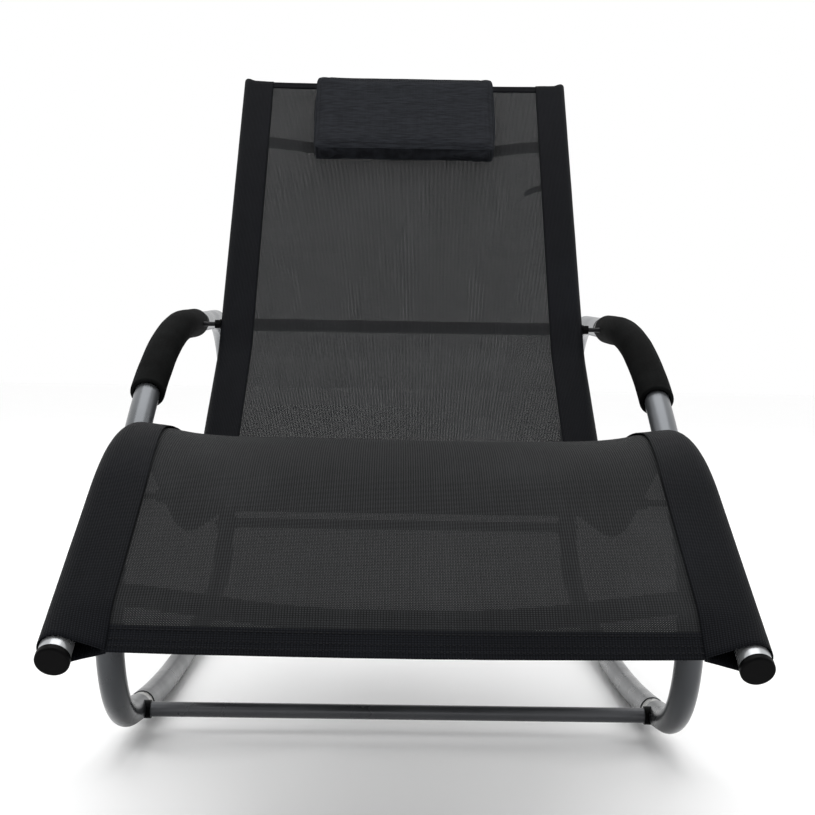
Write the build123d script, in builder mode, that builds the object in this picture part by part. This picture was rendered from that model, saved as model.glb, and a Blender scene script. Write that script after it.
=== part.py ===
from build123d import *
from math import asin, atan2, cos, degrees, radians, sin, sqrt, tan
import os

os.makedirs("parts", exist_ok=True)

# A rocking lounger. X runs across it, +Y from the foot end to the head end, +Z up.
# The origin lies on the floor under the middle of its box.

# ---- driving dimensions, in millimetres and degrees ----
RAIL_X = 229.0  # side rail's centreline, each side of the middle
RAIL_D = 22.0
RING_X = 284.0  # side ring's centreline
RING_D = 28.0
BAR_D = 16.0
WALL = 1.2  # wall of every tube

# S-bent side rail: its corners before bending, and the bend radii
RAIL_FOOT = (-717.0, 205.5)
RAIL_KNEE = (-434.0, 367.5)
RAIL_SEAT = (-55.5, 201.0)
RAIL_BACK = (226.0, 418.0)
RAIL_HEAD = (501.0, 820.0)
RAIL_BENDS = [266.0, 200.0, 120.0]

# closed side ring, as tangent arcs
ROCKER_Y = 144.0  # where the rocker touches the floor
ROCKER_R = 2400.0
ROCKER_FRONT = 7.1  # angle of the rocker arc in front of its lowest point
NOSE_R = 126.0
RISE_ANGLE = 37.5  # slope of the straight stretch from nose to armrest
RISE_LENGTH = 118.0
ARM_BEND_R = 613.0
ARM_ANGLE = 3.6  # slope of the armrest
REAR_TOP_R = 185.0
REAR_LOW_R = 142.0

# where the two tubes of a ring meet
FLOOR_JOINT_Y = -100.0  # rear end of the front tube, on the floor
FLOOR_JOINT_GAP = 26.0
ARM_JOINT_Y = 318.0  # rear end of the front tube, on the armrest
ARM_JOINT_GAP = 30.0
INSERT_DEPTH = 40.0  # how far an insert reaches into each tube

# armrest foam
FOAM_D = 38.5
FOAM_BORE = 28.4
FOAM_START_SLOPE = 31.2
FOAM_END_Y = 300.0

# crossbars
CALF_BAR_Y = -661.0
HEAD_BAR_FROM_TOP = 109.0
BAR_BOW = 20.0
FRONT_RING_BAR_Y = -119.5
REAR_RING_BAR_ANGLE = -22.0  # on the low rear bend, from its centre

# fabric
MESH = 1.2
MESH_LEVEL = 9.4  # mesh above the rail's centreline, towards the sitter
MESH_HALF = 197.0
SLEEVE_R = 12.1
SLEEVE_BORE_R = 11.3
SEAM = 2.0
BARE_FOOT = 8.0  # rail left bare between the sleeve and the end cap
POCKET = 6.0  # sleeve past the rail's head end
FOOT_HEM = 20.0
HEAD_HEM = 12.0
HEM = 2.6

# pillow
PILLOW_W = 265.0
PILLOW_L = 142.0
PILLOW_T = 32.0
PILLOW_TOP = -12.5  # upper side, along the backrest from the rail's head end
PILLOW_EDGE_R = 11.0
COVER = 1.5
HANGER_W = 180.0
HANGER_DROP = 98.0

# end caps and fasteners
CAP_D = 23.4
CAP_HEAD = 5.0
HEAD_CAP_D = 22.0
HEAD_CAP = 3.0
CAP_PLUG = 16.0
BOLT_D = 6.0
BOLT_HOLE_D = 6.4
THREAD_D = 6.1
BOLT_HEAD_D = 10.0
BOLT_HEAD_H = 3.5
BOLT_REACH = 20.0  # thread inside a crossbar's plug
PLUG_L = 22.0
ACCESS_D = 11.0
NUT_FLANGE_D = 13.0
NUT_FLANGE_H = 2.0
NUT_ACROSS = 11.0
NUT_H = 8.6
COLLAR_D = 19.6
COLLAR_L = 4.0
CLEAR = 0.05  # between pieces that touch on round faces

SIDES = {"left": -1, "right": 1}


def save(piece, name):
    """Label a finished piece and write it out."""
    piece.label = name
    export_step(piece, f"parts/{name}.step")


def slope_of(start, end):
    return degrees(atan2(end[1] - start[1], end[0] - start[0]))


def step_along(point, angle, distance):
    """A point in the side plane, moved along a slope."""
    return (
        point[0] + distance * cos(radians(angle)),
        point[1] + distance * sin(radians(angle)),
    )


def crossing(first, first_angle, second, second_angle):
    """Where two sloped lines in the side plane meet."""
    first_rise = tan(radians(first_angle))
    second_rise = tan(radians(second_angle))
    y = (second[1] - first[1] + first_rise * first[0] - second_rise * second[0]) / (first_rise - second_rise)
    return (y, first[1] + first_rise * (y - first[0]))


# ---- the rail's lines ----
LEG_SLOPE = slope_of(RAIL_FOOT, RAIL_KNEE)
THIGH_SLOPE = slope_of(RAIL_KNEE, RAIL_SEAT)
BACK_SLOPE = slope_of(RAIL_BACK, RAIL_HEAD)

# ---- the ring's arcs ----
RING_R = RING_D / 2
FRONT_EXTREME = step_along(RAIL_FOOT, LEG_SLOPE, -CAP_HEAD)[0] - CAP_D / 2 * sin(radians(LEG_SLOPE))
REAR_Y = -FRONT_EXTREME - RING_R  # the ring reaches as far back as the foot caps reach forward

ROCKER_CENTRE = (ROCKER_Y, ROCKER_R + RING_R)
NOSE_CENTRE = step_along(ROCKER_CENTRE, -90 - ROCKER_FRONT, ROCKER_R - NOSE_R)
RISE_START = step_along(NOSE_CENTRE, 90 + RISE_ANGLE, NOSE_R)
RISE_END = step_along(RISE_START, RISE_ANGLE, RISE_LENGTH)
ARM_BEND_CENTRE = step_along(RISE_END, RISE_ANGLE - 90, ARM_BEND_R)
ARM_START = step_along(ARM_BEND_CENTRE, 90 + ARM_ANGLE, ARM_BEND_R)
REAR_TOP_Y = REAR_Y - REAR_TOP_R
ARM_RUN = (REAR_TOP_Y - REAR_TOP_R * sin(radians(ARM_ANGLE)) - ARM_START[0]) / cos(radians(ARM_ANGLE))
ARM_END = step_along(ARM_START, ARM_ANGLE, ARM_RUN)
REAR_TOP_CENTRE = step_along(ARM_END, ARM_ANGLE - 90, REAR_TOP_R)
LOW_RISE = sqrt((ROCKER_R - REAR_LOW_R) ** 2 - (REAR_Y - REAR_LOW_R - ROCKER_Y) ** 2)
REAR_LOW_CENTRE = (REAR_Y - REAR_LOW_R, ROCKER_CENTRE[1] - LOW_RISE)
ROCKER_REAR = degrees(asin((REAR_LOW_CENTRE[0] - ROCKER_Y) / (ROCKER_R - REAR_LOW_R)))


def on_rocker(y):
    """Point of the rocker's centreline and its slope, at a place along Y."""
    slope = degrees(asin((y - ROCKER_Y) / ROCKER_R))
    return (y, ROCKER_CENTRE[1] - ROCKER_R * cos(radians(slope))), slope


def on_arm(y):
    """Point of the armrest's straight stretch, at a place along Y."""
    return (y, ARM_START[1] + (y - ARM_START[0]) * tan(radians(ARM_ANGLE)))


ARM_BOLT = crossing(RAIL_BACK, BACK_SLOPE, ARM_START, ARM_ANGLE)
THIGH_BOLT = crossing(RAIL_KNEE, THIGH_SLOPE, RISE_START, RISE_ANGLE)
CALF_BAR = step_along(RAIL_FOOT, LEG_SLOPE, (CALF_BAR_Y - RAIL_FOOT[0]) / cos(radians(LEG_SLOPE)))
HEAD_BAR = step_along(RAIL_HEAD, BACK_SLOPE, -HEAD_BAR_FROM_TOP)
FRONT_RING_BAR, FRONT_RING_SLOPE = on_rocker(FRONT_RING_BAR_Y)
REAR_RING_BAR = step_along(REAR_LOW_CENTRE, REAR_RING_BAR_ANGLE, REAR_LOW_R)


def rail_points(foot_trim=0.0, head_extra=0.0):
    """Corners of the rail's centreline, cut back at the foot or run on at the head."""
    foot = step_along(RAIL_FOOT, LEG_SLOPE, foot_trim)
    head = step_along(RAIL_HEAD, BACK_SLOPE, head_extra)
    return [foot, RAIL_KNEE, RAIL_SEAT, RAIL_BACK, head]


def cross_plane(point, slope, x=0.0):
    """Plane square to a slope of the side view: local Y points towards the sitter, local X towards -X."""
    turn = radians(slope)
    return Plane(origin=(x, point[0], point[1]), x_dir=(-1, 0, 0), z_dir=(0, cos(turn), sin(turn)))


def lying_plane(point, slope, x=0.0):
    """Plane that lies along a slope: local Y up the slope, local Z towards the sitter."""
    turn = radians(slope)
    return Plane(origin=(x, point[0], point[1]), x_dir=(1, 0, 0), z_dir=(0, -sin(turn), cos(turn)))


def edge_plane(point, slope, x=0.0):
    """Plane of the side view turned to a slope: local X up the slope, local Y towards the sitter."""
    turn = radians(slope)
    return Plane(origin=(x, point[0], point[1]), x_dir=(0, cos(turn), sin(turn)), z_dir=(1, 0, 0))


def across(point, x=0.0):
    """Place on a line along X, at a point of the side view."""
    return Plane(origin=(x, point[0], point[1]), x_dir=(0, 1, 0), z_dir=(1, 0, 0))


def tube_section(outer_d, wall):
    Circle(outer_d / 2)
    Circle(outer_d / 2 - wall, mode=Mode.SUBTRACT)


RING_BOLT_POINTS = [ARM_BOLT, THIGH_BOLT]
PLAIN_BAR_POINTS = [CALF_BAR, HEAD_BAR]
RING_BAR_POINTS = [FRONT_RING_BAR, REAR_RING_BAR]

# ---- side rails: bent tubes, drilled for the ring bolts and for the crossbar screws ----
for side, sign in SIDES.items():
    with BuildPart() as rail:
        with BuildLine(Plane.YZ.offset(sign * RAIL_X)):
            FilletPolyline(*rail_points(), radius=RAIL_BENDS)
        with BuildSketch(cross_plane(RAIL_FOOT, LEG_SLOPE, sign * RAIL_X)):
            tube_section(RAIL_D, WALL)
        sweep()
        for point in RING_BOLT_POINTS:
            with Locations(across(point, sign * RAIL_X)):
                Cylinder(BOLT_HOLE_D / 2, 2 * RAIL_D, mode=Mode.SUBTRACT)
        for point in PLAIN_BAR_POINTS:
            with Locations(across(point, sign * (RAIL_X - RAIL_D / 2))):
                Cylinder(BOLT_HOLE_D / 2, RAIL_D, mode=Mode.SUBTRACT)
            with Locations(across(point, sign * (RAIL_X + RAIL_D / 2))):
                Cylinder(ACCESS_D / 2, RAIL_D, mode=Mode.SUBTRACT)
    save(rail.part, f"rail_{side}")

# ---- side rings, front tubes: floor, nose, rise, armrest ----
FLOOR_END, FLOOR_END_SLOPE = on_rocker(FLOOR_JOINT_Y)
for side, sign in SIDES.items():
    with BuildPart() as ring_front:
        with BuildLine(Plane.YZ.offset(sign * RING_X)):
            start_way = (0, -cos(radians(FLOOR_END_SLOPE)), -sin(radians(FLOOR_END_SLOPE)))
            floor_run = JernArc(FLOOR_END, start_way, ROCKER_R, -(ROCKER_FRONT + FLOOR_END_SLOPE))
            nose = JernArc(floor_run @ 1, floor_run % 1, NOSE_R, ROCKER_FRONT + RISE_ANGLE - 180)
            rise = Line(nose @ 1, nose @ 1 + RISE_LENGTH * (nose % 1))
            bend = JernArc(rise @ 1, rise % 1, ARM_BEND_R, ARM_ANGLE - RISE_ANGLE)
            Line(bend @ 1, on_arm(ARM_JOINT_Y))
        with BuildSketch(cross_plane(FLOOR_END, FLOOR_END_SLOPE + 180, sign * RING_X)):
            tube_section(RING_D, WALL)
        sweep()
        for point in RING_BOLT_POINTS + [FRONT_RING_BAR]:
            with Locations(across(point, sign * RING_X)):
                Cylinder(BOLT_HOLE_D / 2, 2 * RING_D, mode=Mode.SUBTRACT)
    save(ring_front.part, f"ring_front_{side}")

# ---- side rings, rear tubes: armrest end, top and low rear bends, floor ----
REAR_TUBE_START = on_arm(ARM_JOINT_Y + ARM_JOINT_GAP)
REAR_TUBE_END, REAR_TUBE_END_SLOPE = on_rocker(FLOOR_JOINT_Y + FLOOR_JOINT_GAP)
for side, sign in SIDES.items():
    with BuildPart() as ring_rear:
        with BuildLine(Plane.YZ.offset(sign * RING_X)):
            arm = Line(REAR_TUBE_START, ARM_END)
            top = JernArc(arm @ 1, arm % 1, REAR_TOP_R, -90 - ARM_ANGLE)
            drop = Line(top @ 1, (REAR_Y, REAR_LOW_CENTRE[1]))
            low = JernArc(drop @ 1, drop % 1, REAR_LOW_R, ROCKER_REAR - 90)
            JernArc(low @ 1, low % 1, ROCKER_R, REAR_TUBE_END_SLOPE - ROCKER_REAR)
        with BuildSketch(cross_plane(REAR_TUBE_START, ARM_ANGLE, sign * RING_X)):
            tube_section(RING_D, WALL)
        sweep()
        with Locations(across(REAR_RING_BAR, sign * RING_X)):
            Cylinder(BOLT_HOLE_D / 2, 2 * RING_D, mode=Mode.SUBTRACT)
    save(ring_rear.part, f"ring_rear_{side}")

# ---- inserts that join the two tubes of a ring ----
INSERT_D = RING_D - 2 * WALL - 2 * CLEAR
floor_from, floor_from_slope = on_rocker(FLOOR_JOINT_Y - INSERT_DEPTH)
floor_to_slope = on_rocker(FLOOR_JOINT_Y + FLOOR_JOINT_GAP + INSERT_DEPTH)[1]
arm_from = on_arm(ARM_JOINT_Y - INSERT_DEPTH)
arm_length = (ARM_JOINT_GAP + 2 * INSERT_DEPTH) / cos(radians(ARM_ANGLE))
for side, sign in SIDES.items():
    with BuildPart() as floor_insert:
        with BuildLine(Plane.YZ.offset(sign * RING_X)):
            insert_way = (0, cos(radians(floor_from_slope)), sin(radians(floor_from_slope)))
            JernArc(floor_from, insert_way, ROCKER_R, floor_to_slope - floor_from_slope)
        with BuildSketch(cross_plane(floor_from, floor_from_slope, sign * RING_X)):
            tube_section(INSERT_D, WALL)
        sweep()
        with Locations(across(FRONT_RING_BAR, sign * RING_X)):
            Cylinder(BOLT_HOLE_D / 2, 2 * RING_D, mode=Mode.SUBTRACT)
    save(floor_insert.part, f"floor_insert_{side}")

    with BuildPart() as arm_insert:
        with BuildSketch(cross_plane(arm_from, ARM_ANGLE, sign * RING_X)):
            tube_section(INSERT_D, WALL)
        extrude(amount=arm_length)
    save(arm_insert.part, f"arm_insert_{side}")

# ---- armrest foam: a thick sleeve over the bend, recessed over the bolt's head ----
FOAM_START = step_along(ARM_BEND_CENTRE, 90 + FOAM_START_SLOPE, ARM_BEND_R)
for side, sign in SIDES.items():
    with BuildPart() as foam:
        with BuildLine(Plane.YZ.offset(sign * RING_X)):
            foam_way = (0, cos(radians(FOAM_START_SLOPE)), sin(radians(FOAM_START_SLOPE)))
            foam_bend = JernArc(FOAM_START, foam_way, ARM_BEND_R, ARM_ANGLE - FOAM_START_SLOPE)
            Line(foam_bend @ 1, on_arm(FOAM_END_Y))
        with BuildSketch(cross_plane(FOAM_START, FOAM_START_SLOPE, sign * RING_X)):
            tube_section(FOAM_D, (FOAM_D - FOAM_BORE) / 2)
        sweep()
        with Locations(across(ARM_BOLT, sign * (RING_X + RING_D / 2))):
            Cylinder(BOLT_HEAD_D / 2 + 0.3, 2 * BOLT_HEAD_H + 0.6, mode=Mode.SUBTRACT)
        with Locations(across(ARM_BOLT, sign * (RING_X - RING_D / 2))):
            Cylinder(BOLT_D / 2 + 0.4, RING_D / 2, mode=Mode.SUBTRACT)
    save(foam.part, f"arm_foam_{side}")


def straight_bar(point, slope, tube_x, tube_d):
    """Crossbar whose ends are coped to the tubes that it joins."""
    with BuildPart() as bar:
        with BuildSketch(across(point)):
            tube_section(BAR_D, WALL)
        extrude(amount=tube_x, both=True)
        for sign in SIDES.values():
            with Locations(cross_plane(point, slope, sign * tube_x)):
                Cylinder(tube_d / 2 + CLEAR, 4 * BAR_D, mode=Mode.SUBTRACT)
    return bar.part


def bowed_bar(point, slope):
    """Crossbar that bows away from the sitter between its straight ends."""
    turn = radians(slope)
    bow_plane = Plane(origin=(0, point[0], point[1]), x_dir=(1, 0, 0), z_dir=(0, -cos(turn), -sin(turn)))
    shoulder, flat = 0.81 * RAIL_X, 0.3 * RAIL_X
    half = [(flat, -BAR_BOW), (shoulder, 0), (RAIL_X, 0)]
    corners = [(-x, y) for x, y in reversed(half)] + half
    with BuildPart() as bar:
        with BuildLine(bow_plane):
            FilletPolyline(*corners, radius=[100, 600, 600, 100])
        with BuildSketch(across(point, -RAIL_X)):
            tube_section(BAR_D, WALL)
        sweep()
        for sign in SIDES.values():
            with Locations(cross_plane(point, slope, sign * RAIL_X)):
                Cylinder(RAIL_D / 2, 4 * BAR_D, mode=Mode.SUBTRACT)
    return bar.part


# ---- crossbars of the rails ----
save(straight_bar(ARM_BOLT, BACK_SLOPE, RAIL_X, RAIL_D), "lumbar_crossbar")
save(straight_bar(THIGH_BOLT, THIGH_SLOPE, RAIL_X, RAIL_D), "thigh_crossbar")
save(bowed_bar(CALF_BAR, LEG_SLOPE), "calf_crossbar")
save(bowed_bar(HEAD_BAR, BACK_SLOPE), "head_crossbar")

# ---- crossbars of the rings ----
save(straight_bar(FRONT_RING_BAR, FRONT_RING_SLOPE, RING_X, RING_D), "ring_crossbar_front")
with BuildPart() as rear_ring_bar:
    with BuildSketch(across(REAR_RING_BAR)):
        tube_section(BAR_D, WALL)
    extrude(amount=RING_X, both=True)
    for sign in SIDES.values():
        with Locations(across(REAR_LOW_CENTRE, sign * RING_X)):
            Torus(REAR_LOW_R, RING_D / 2, mode=Mode.SUBTRACT)
save(rear_ring_bar.part, "ring_crossbar_rear")

# ---- collars round the ends of the ring crossbars ----
with BuildPart() as collars:
    for point in RING_BAR_POINTS:
        for sign in SIDES.values():
            with BuildSketch(across(point, sign * (RING_X - RING_D / 2 - COLLAR_L))):
                Circle(COLLAR_D / 2)
                Circle(BAR_D / 2 + CLEAR, mode=Mode.SUBTRACT)
            extrude(amount=sign * (COLLAR_L + RING_D / 4))
    for sign in SIDES.values():
        with Locations(cross_plane(FRONT_RING_BAR, FRONT_RING_SLOPE, sign * RING_X)):
            Cylinder(RING_D / 2 + CLEAR, 4 * COLLAR_D, mode=Mode.SUBTRACT)
        with Locations(across(REAR_LOW_CENTRE, sign * RING_X)):
            Torus(REAR_LOW_R, RING_D / 2 + CLEAR, mode=Mode.SUBTRACT)
save(collars.part, "crossbar_collars")

# ---- threaded plugs in the ends of every crossbar ----
with BuildPart() as plugs:
    for points, tube_x, tube_d in (
        (RING_BOLT_POINTS + PLAIN_BAR_POINTS, RAIL_X, RAIL_D),
        (RING_BAR_POINTS, RING_X, RING_D),
    ):
        for point in points:
            for sign in SIDES.values():
                with Locations(across(point, sign * (tube_x - tube_d / 2 - 0.5 - PLUG_L / 2))):
                    Cylinder(BAR_D / 2 - WALL - CLEAR, PLUG_L)
                    Cylinder(THREAD_D / 2, PLUG_L, mode=Mode.SUBTRACT)
save(plugs.part, "crossbar_plugs")


def bolt(point, sign, head_x, tip_x):
    """Button-head bolt along X, from its head inwards to its tip."""
    inner_r, outer_r = BOLT_HEAD_D / 2, 0.38 * BOLT_HEAD_D
    low_r, high_r = (inner_r, outer_r) if sign > 0 else (outer_r, inner_r)
    with Locations(across(point, sign * (head_x + tip_x) / 2)):
        Cylinder(BOLT_D / 2, head_x - tip_x)
    with Locations(across(point, sign * (head_x + BOLT_HEAD_H / 2))):
        Cone(low_r, high_r, BOLT_HEAD_H)


BOLT_HEAD_X = RING_X + RING_D / 2 + CLEAR
SCREW_HEAD_X = RAIL_X - sqrt((RAIL_D / 2 - WALL) ** 2 - (BOLT_HEAD_D / 2) ** 2) + CLEAR

# ---- long bolts: ring, gap, rail, crossbar ----
with BuildPart() as ring_bolts:
    for point in RING_BOLT_POINTS:
        for sign in SIDES.values():
            bolt(point, sign, BOLT_HEAD_X, RAIL_X - RAIL_D / 2 - BOLT_REACH)
save(ring_bolts.part, "ring_bolts")

# ---- bolts of the ring crossbars ----
with BuildPart() as bar_bolts:
    for point in RING_BAR_POINTS:
        for sign in SIDES.values():
            bolt(point, sign, BOLT_HEAD_X, RING_X - RING_D / 2 - BOLT_REACH)
save(bar_bolts.part, "ring_crossbar_bolts")

# ---- screws of the head and calf crossbars, with their heads inside the rail ----
with BuildPart() as screws:
    for point in PLAIN_BAR_POINTS:
        for sign in SIDES.values():
            bolt(point, sign, SCREW_HEAD_X, RAIL_X - RAIL_D / 2 - BOLT_REACH)
save(screws.part, "crossbar_screws")

# ---- flanged spacer nuts on the long bolts, against the rail ----
NUT_X = RAIL_X + SLEEVE_R + CLEAR
with BuildPart() as nuts:
    for point in RING_BOLT_POINTS:
        for sign in SIDES.values():
            with BuildSketch(across(point, sign * NUT_X)):
                Circle(NUT_FLANGE_D / 2)
                Circle(THREAD_D / 2, mode=Mode.SUBTRACT)
            extrude(amount=sign * NUT_FLANGE_H)
            with BuildSketch(across(point, sign * (NUT_X + NUT_FLANGE_H))):
                RegularPolygon(NUT_ACROSS / 2, 6, major_radius=False)
                Circle(THREAD_D / 2, mode=Mode.SUBTRACT)
            extrude(amount=sign * (NUT_H - NUT_FLANGE_H))
save(nuts.part, "spacer_nuts")


def end_cap(plane, head_d, head_h):
    """Round cap with a plug that fits the tube; local +Z of the plane points into the tube."""
    into = Axis(plane.origin, plane.z_dir)
    with BuildPart() as cap:
        with Locations(plane):
            Cylinder(head_d / 2, head_h, align=(Align.CENTER, Align.CENTER, Align.MAX))
            Cylinder(RAIL_D / 2 - WALL - CLEAR, CAP_PLUG, align=(Align.CENTER, Align.CENTER, Align.MIN))
        fillet(cap.edges().filter_by(GeomType.CIRCLE).sort_by(into)[0], 0.3 * head_h)
    return cap.part


# ---- end caps of the rails ----
for side, sign in SIDES.items():
    foot_plane = cross_plane(RAIL_FOOT, LEG_SLOPE, sign * RAIL_X)
    head_plane = cross_plane(RAIL_HEAD, BACK_SLOPE + 180, sign * RAIL_X)
    save(end_cap(foot_plane, CAP_D, CAP_HEAD), f"foot_cap_{side}")
    save(end_cap(head_plane, HEAD_CAP_D, HEAD_CAP), f"head_cap_{side}")


def sleeve_outline(sign, radius, seam_from, seam_to, seam_height):
    """Section round the rail that runs in to the seam with the sling."""
    reach = (RAIL_X - MESH_HALF) - (seam_from + seam_to) / 2
    with BuildSketch() as outline:
        Circle(radius)
        with Locations((sign * reach, MESH_LEVEL)):
            Rectangle(seam_to - seam_from, seam_height)
        make_hull()
    return outline.sketch


# ---- fabric sleeves of the sling, round the rails, closed at the head ----
SLEEVE_START = step_along(RAIL_FOOT, LEG_SLOPE, BARE_FOOT)
POCKET_END = step_along(RAIL_HEAD, BACK_SLOPE, POCKET)
for side, sign in SIDES.items():
    outer = sleeve_outline(sign, SLEEVE_R, 0, 4, SEAM)
    inner = sleeve_outline(sign, SLEEVE_BORE_R, 5, 6, 0.4)
    with BuildPart() as sleeve:
        with BuildLine(Plane.YZ.offset(sign * RAIL_X)):
            FilletPolyline(*rail_points(BARE_FOOT, POCKET), radius=RAIL_BENDS)
        with BuildSketch(cross_plane(SLEEVE_START, LEG_SLOPE, sign * RAIL_X)):
            add(outer)
            add(inner, mode=Mode.SUBTRACT)
        sweep()
        with BuildSketch(cross_plane(POCKET_END, BACK_SLOPE, sign * RAIL_X)):
            add(outer)
        extrude(amount=1.0)
        for point in RING_BOLT_POINTS + PLAIN_BAR_POINTS:
            with Locations(across(point, sign * (RAIL_X - 20))):
                Cylinder(BAR_D / 2 + 0.2, 40, mode=Mode.SUBTRACT)
        for point in RING_BOLT_POINTS:
            with Locations(across(point, sign * (RAIL_X + SLEEVE_R))):
                Cylinder(BOLT_D / 2 + 0.2, SLEEVE_R, mode=Mode.SUBTRACT)
    save(sleeve.part, f"sleeve_{side}")

# ---- mesh sling between the sleeves, with its two hems ----
MESH_START = step_along(RAIL_FOOT, LEG_SLOPE, BARE_FOOT + FOOT_HEM)
with BuildPart() as sling:
    with BuildLine(Plane.YZ):
        FilletPolyline(*rail_points(BARE_FOOT + FOOT_HEM, -HEAD_HEM), radius=RAIL_BENDS)
    with BuildSketch(cross_plane(MESH_START, LEG_SLOPE)):
        with Locations((0, MESH_LEVEL)):
            Rectangle(2 * MESH_HALF, MESH)
    sweep()
save(sling.part, "sling_mesh")

with BuildPart() as foot_hem:
    with BuildSketch(cross_plane(SLEEVE_START, LEG_SLOPE)):
        with Locations((0, MESH_LEVEL)):
            Rectangle(2 * MESH_HALF, HEM)
    extrude(amount=FOOT_HEM)
save(foot_hem.part, "foot_hem")

with BuildPart() as head_hem:
    with BuildSketch(cross_plane(step_along(RAIL_HEAD, BACK_SLOPE, -HEAD_HEM), BACK_SLOPE)):
        with Locations((0, MESH_LEVEL)):
            Rectangle(2 * MESH_HALF, HEM)
    extrude(amount=HEAD_HEM)
save(head_hem.part, "head_hem")

# ---- small blank tab sewn into the right seam, behind the mesh ----
TAB_FROM_HEAD = 195.0
TAB_W = 7.0
TAB_L = 24.0
TAB_T = 0.8
tab_plane = lying_plane(RAIL_HEAD, BACK_SLOPE)
with BuildPart() as tab:
    with Locations(tab_plane):
        with Locations((MESH_HALF - TAB_L / 2, -TAB_FROM_HEAD, MESH_LEVEL - MESH / 2 - CLEAR - TAB_T / 2)):
            Box(TAB_L, TAB_W, TAB_T)
save(tab.part, "seam_tab")

# ---- pillow: box-shaped cover, filling, and the flap that hangs it over the head hem ----
STRAP_T = 1.0
STRAP_LEVEL = MESH_LEVEL + HEM / 2 + 0.4 + STRAP_T / 2
PILLOW_LEVEL = STRAP_LEVEL + STRAP_T / 2
BACK_STRAP_LEVEL = MESH_LEVEL - HEM / 2 - 0.7 - STRAP_T / 2
HANGER_OVER = 6.0
HANGER_SEWN = 40.0
ROD_D = 6.0
ROD_POCKET_D = 8.0


def pillow_block(inset):
    """The pillow's box with rounded edges, shrunk by an inset all round."""
    middle = (0, PILLOW_TOP - PILLOW_L / 2, PILLOW_LEVEL + PILLOW_T / 2)
    with BuildPart() as block:
        with Locations(lying_plane(RAIL_HEAD, BACK_SLOPE)):
            with Locations(middle):
                Box(PILLOW_W - 2 * inset, PILLOW_L - 2 * inset, PILLOW_T - 2 * inset)
        fillet(block.edges(), PILLOW_EDGE_R - inset)
    return block.part


cover_outside = pillow_block(0)
cover_inside = pillow_block(COVER)
filling = pillow_block(COVER + CLEAR)
with BuildPart() as pillow_cover:
    add(cover_outside)
    add(cover_inside, mode=Mode.SUBTRACT)
save(pillow_cover.part, "pillow_cover")

with BuildPart() as pillow_filling:
    add(filling)
save(pillow_filling.part, "pillow_filling")

ROD_AT = (-HANGER_DROP - ROD_POCKET_D / 2, BACK_STRAP_LEVEL + STRAP_T / 2 - ROD_POCKET_D / 2)
with BuildPart() as hanger:
    with BuildSketch(edge_plane(RAIL_HEAD, BACK_SLOPE)):
        with BuildLine():
            FilletPolyline(
                (PILLOW_TOP - HANGER_SEWN, STRAP_LEVEL),
                (HANGER_OVER, STRAP_LEVEL),
                (HANGER_OVER, BACK_STRAP_LEVEL),
                (-HANGER_DROP - ROD_POCKET_D / 2, BACK_STRAP_LEVEL),
                radius=2.0,
            )
        trace(line_width=STRAP_T)
        with Locations(ROD_AT):
            Circle(ROD_POCKET_D / 2)
            Circle(ROD_D / 2 + CLEAR, mode=Mode.SUBTRACT)
    extrude(amount=HANGER_W / 2, both=True)
save(hanger.part, "pillow_hanger")

with BuildPart() as rod:
    with BuildSketch(edge_plane(RAIL_HEAD, BACK_SLOPE)):
        with Locations(ROD_AT):
            Circle(ROD_D / 2)
    extrude(amount=HANGER_W / 2 - 5, both=True)
save(rod.part, "hanger_rod")
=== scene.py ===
from math import atan2, ceil, cos, exp, hypot, pi, radians, sin, sqrt, tan

import bmesh
import bpy
from mathutils import Matrix, Vector, noise
from mathutils.bvhtree import BVHTree


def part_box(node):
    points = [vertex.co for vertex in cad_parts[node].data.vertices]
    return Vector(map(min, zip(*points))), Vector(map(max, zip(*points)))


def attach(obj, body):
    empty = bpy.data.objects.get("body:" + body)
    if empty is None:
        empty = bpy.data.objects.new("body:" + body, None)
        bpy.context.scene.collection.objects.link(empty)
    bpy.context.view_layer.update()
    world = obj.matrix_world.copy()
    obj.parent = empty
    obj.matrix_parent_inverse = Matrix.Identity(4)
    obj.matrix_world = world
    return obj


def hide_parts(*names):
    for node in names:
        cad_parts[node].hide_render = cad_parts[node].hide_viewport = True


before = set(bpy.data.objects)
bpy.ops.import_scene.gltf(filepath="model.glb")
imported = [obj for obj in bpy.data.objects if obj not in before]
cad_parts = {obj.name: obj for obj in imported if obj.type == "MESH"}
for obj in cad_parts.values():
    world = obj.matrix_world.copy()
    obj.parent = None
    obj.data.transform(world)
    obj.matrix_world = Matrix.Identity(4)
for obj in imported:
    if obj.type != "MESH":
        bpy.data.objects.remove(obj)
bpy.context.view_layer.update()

# ---------------------------------------------------------------- dimensions, in metres
RAIL_X = 0.229
RAIL_CORNERS = [(-0.717, 0.2055), (-0.434, 0.3675), (-0.0555, 0.201), (0.226, 0.418), (0.501, 0.820)]
RAIL_BENDS = [0.266, 0.200, 0.120]
BACK = radians(55.6248)  # slope of the backrest
RING_X = 0.284
ARM_CENTRE = (0.2530, -0.1571)
ARM_R = 0.613
ARM_SLOPE = radians(3.6)
FOAM_SLOPE = radians(31.2)
FOAM_END_Y = 0.300
FOAM_R = 0.01925
CLOTH_R = 0.0119  # outside of a sleeve
SEAM_X = 0.197
LEVEL = 0.0094  # sling above the rail's centreline
BARE_FOOT = 0.008
POCKET = 0.006


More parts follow.
